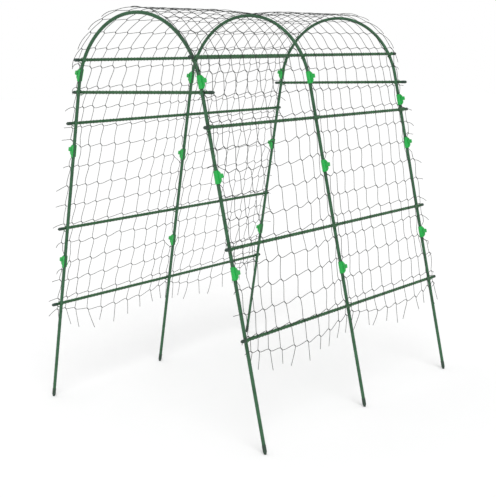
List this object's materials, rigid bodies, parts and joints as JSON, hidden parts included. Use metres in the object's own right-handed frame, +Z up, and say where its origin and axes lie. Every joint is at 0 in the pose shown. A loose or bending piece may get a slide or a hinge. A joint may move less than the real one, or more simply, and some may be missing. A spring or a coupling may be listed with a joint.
{
  "type": "garden trellis arch",
  "caption": "Walk-through garden trellis arch: round-topped tube hoops tied by long rods, with a square-mesh climbing net held on by swivelling clips.",
  "frame": {"origin": "centre of the footprint, on the ground", "axes": "+Z up, Y along the tunnel with the front hoop at -Y, X across it"},
  "size_m": [1.403, 1.66, 1.9088],
  "materials": {
    "green_tube": "satin plastic coating",
    "green_rod": "satin plastic coating with nubs",
    "joiner_steel": "zinc plated",
    "tie_green": "satin",
    "dark_cap": "matte",
    "foot_cap": "matte",
    "clip_green": "moulded, glossy",
    "net_twine": "knotted twine"
  },
  "bodies": {
    "frame": {"front_left_leg": "green_tube", "front_left_bow": "green_tube", "front_right_leg": "green_tube", "front_right_bow": "green_tube", "front_hoop_joiners": "joiner_steel", "front_hoop_ties": "tie_green", "middle_left_leg": "green_tube", "middle_left_bow": "green_tube", "middle_right_leg": "green_tube", "middle_right_bow": "green_tube", "middle_hoop_joiners": "joiner_steel", "middle_hoop_ties": "tie_green", "back_left_leg": "green_tube", "back_left_bow": "green_tube", "back_right_leg": "green_tube", "back_right_bow": "green_tube", "back_hoop_joiners": "joiner_steel", "back_hoop_ties": "tie_green", "left_shoulder_rod": "green_rod", "left_upper_rod": "green_rod", "left_waist_rod": "green_rod", "left_lower_rod": "green_rod", "right_shoulder_rod": "green_rod", "right_upper_rod": "green_rod", "right_waist_rod": "green_rod", "right_lower_rod": "green_rod", "front_cross_bar": "green_rod", "back_cross_bar": "green_rod", "rod_end_caps": "dark_cap", "foot_caps": "foot_cap", "net_left_side": "net_twine", "net_right_side": "net_twine", "net_roof": "net_twine"},
    "front_left_top_net_clip": {"front_left_top_clip": "clip_green"},
    "front_left_middle_net_clip": {"front_left_middle_clip": "clip_green"},
    "front_left_bottom_net_clip": {"front_left_bottom_clip": "clip_green"},
    "front_right_top_net_clip": {"front_right_top_clip": "clip_green"},
    "front_right_middle_net_clip": {"front_right_middle_clip": "clip_green"},
    "front_right_bottom_net_clip": {"front_right_bottom_clip": "clip_green"},
    "middle_left_top_net_clip": {"middle_left_top_clip": "clip_green"},
    "middle_left_middle_net_clip": {"middle_left_middle_clip": "clip_green"},
    "middle_left_bottom_net_clip": {"middle_left_bottom_clip": "clip_green"},
    "middle_right_top_net_clip": {"middle_right_top_clip": "clip_green"},
    "middle_right_middle_net_clip": {"middle_right_middle_clip": "clip_green"},
    "middle_right_bottom_net_clip": {"middle_right_bottom_clip": "clip_green"},
    "back_left_top_net_clip": {"back_left_top_clip": "clip_green"},
    "back_left_middle_net_clip": {"back_left_middle_clip": "clip_green"},
    "back_left_bottom_net_clip": {"back_left_bottom_clip": "clip_green"},
    "back_right_top_net_clip": {"back_right_top_clip": "clip_green"},
    "back_right_middle_net_clip": {"back_right_middle_clip": "clip_green"},
    "back_right_bottom_net_clip": {"back_right_bottom_clip": "clip_green"}
  },
  "joints": [
    {"name": "front_left_top_clip_swivel", "type": "hinge", "parent": "frame", "child": "front_left_top_net_clip", "pos_m": [-0.37145, -0.785, 1.62885], "axis": [0.3048, 0, 0.9524], "range_deg": [-25, 25]},
    {"name": "front_left_middle_clip_swivel", "type": "hinge", "parent": "frame", "child": "front_left_middle_net_clip", "pos_m": [-0.44471, -0.785, 1.27039], "axis": [0.1933, 0, 0.9811], "range_deg": [-25, 25]},
    {"name": "front_left_bottom_clip_swivel", "type": "hinge", "parent": "frame", "child": "front_left_bottom_net_clip", "pos_m": [-0.55314, -0.785, 0.72], "axis": [0.1933, 0, 0.9811], "range_deg": [-25, 25]},
    {"name": "front_right_top_clip_swivel", "type": "hinge", "parent": "frame", "child": "front_right_top_net_clip", "pos_m": [0.38131, -0.785, 1.59185], "axis": [-0.2099, 0, 0.9777], "range_deg": [-25, 25]},
    {"name": "front_right_middle_clip_swivel", "type": "hinge", "parent": "frame", "child": "front_right_middle_net_clip", "pos_m": [0.46047, -0.785, 1.19039], "axis": [-0.1933, 0, 0.9811], "range_deg": [-25, 25]},
    {"name": "front_right_bottom_clip_swivel", "type": "hinge", "parent": "frame", "child": "front_right_bottom_net_clip", "pos_m": [0.54132, -0.785, 0.78], "axis": [-0.1933, 0, 0.9811], "range_deg": [-25, 25]},
    {"name": "middle_left_top_clip_swivel", "type": "hinge", "parent": "frame", "child": "middle_left_top_net_clip", "pos_m": [-0.37974, 0, 1.59885], "axis": [0.2278, 0, 0.9737], "range_deg": [-25, 25]},
    {"name": "middle_left_middle_clip_swivel", "type": "hinge", "parent": "frame", "child": "middle_left_middle_net_clip", "pos_m": [-0.46047, 0, 1.19039], "axis": [0.1933, 0, 0.9811], "range_deg": [-25, 25]},
    {"name": "middle_left_bottom_clip_swivel", "type": "hinge", "parent": "frame", "child": "middle_left_bottom_net_clip", "pos_m": [-0.55413, 0, 0.715], "axis": [0.1933, 0, 0.9811], "range_deg": [-25, 25]},
    {"name": "middle_right_top_clip_swivel", "type": "hinge", "parent": "frame", "child": "middle_right_top_net_clip", "pos_m": [0.38131, 0, 1.59185], "axis": [-0.2099, 0, 0.9777], "range_deg": [-25, 25]},
    {"name": "middle_right_middle_clip_swivel", "type": "hinge", "parent": "frame", "child": "middle_right_middle_net_clip", "pos_m": [0.46441, 0, 1.17039], "axis": [-0.1933, 0, 0.9811], "range_deg": [-25, 25]},
    {"name": "middle_right_bottom_clip_swivel", "type": "hinge", "parent": "frame", "child": "middle_right_bottom_net_clip", "pos_m": [0.56102, 0, 0.68], "axis": [-0.1933, 0, 0.9811], "range_deg": [-25, 25]},
    {"name": "back_left_top_clip_swivel", "type": "hinge", "parent": "frame", "child": "back_left_top_net_clip", "pos_m": [-0.37927, 0.785, 1.60085], "axis": [0.233, 0, 0.9725], "range_deg": [-25, 25]},
    {"name": "back_left_middle_clip_swivel", "type": "hinge", "parent": "frame", "child": "back_left_middle_net_clip", "pos_m": [-0.46047, 0.785, 1.19039], "axis": [0.1933, 0, 0.9811], "range_deg": [-25, 25]},
    {"name": "back_left_bottom_clip_swivel", "type": "hinge", "parent": "frame", "child": "back_left_bottom_net_clip", "pos_m": [-0.563, 0.785, 0.67], "axis": [0.1933, 0, 0.9811], "range_deg": [-25, 25]},
    {"name": "back_right_top_clip_swivel", "type": "hinge", "parent": "frame", "child": "back_right_top_net_clip", "pos_m": [0.40856, 0.785, 1.45385], "axis": [-0.1933, 0, 0.9811], "range_deg": [-25, 25]},
    {"name": "back_right_middle_clip_swivel", "type": "hinge", "parent": "frame", "child": "back_right_middle_net_clip", "pos_m": [0.45357, 0.785, 1.22539], "axis": [-0.1933, 0, 0.9811], "range_deg": [-25, 25]},
    {"name": "back_right_bottom_clip_swivel", "type": "hinge", "parent": "frame", "child": "back_right_bottom_net_clip", "pos_m": [0.54822, 0.785, 0.745], "axis": [-0.1933, 0, 0.9811], "range_deg": [-25, 25]}
  ]
}
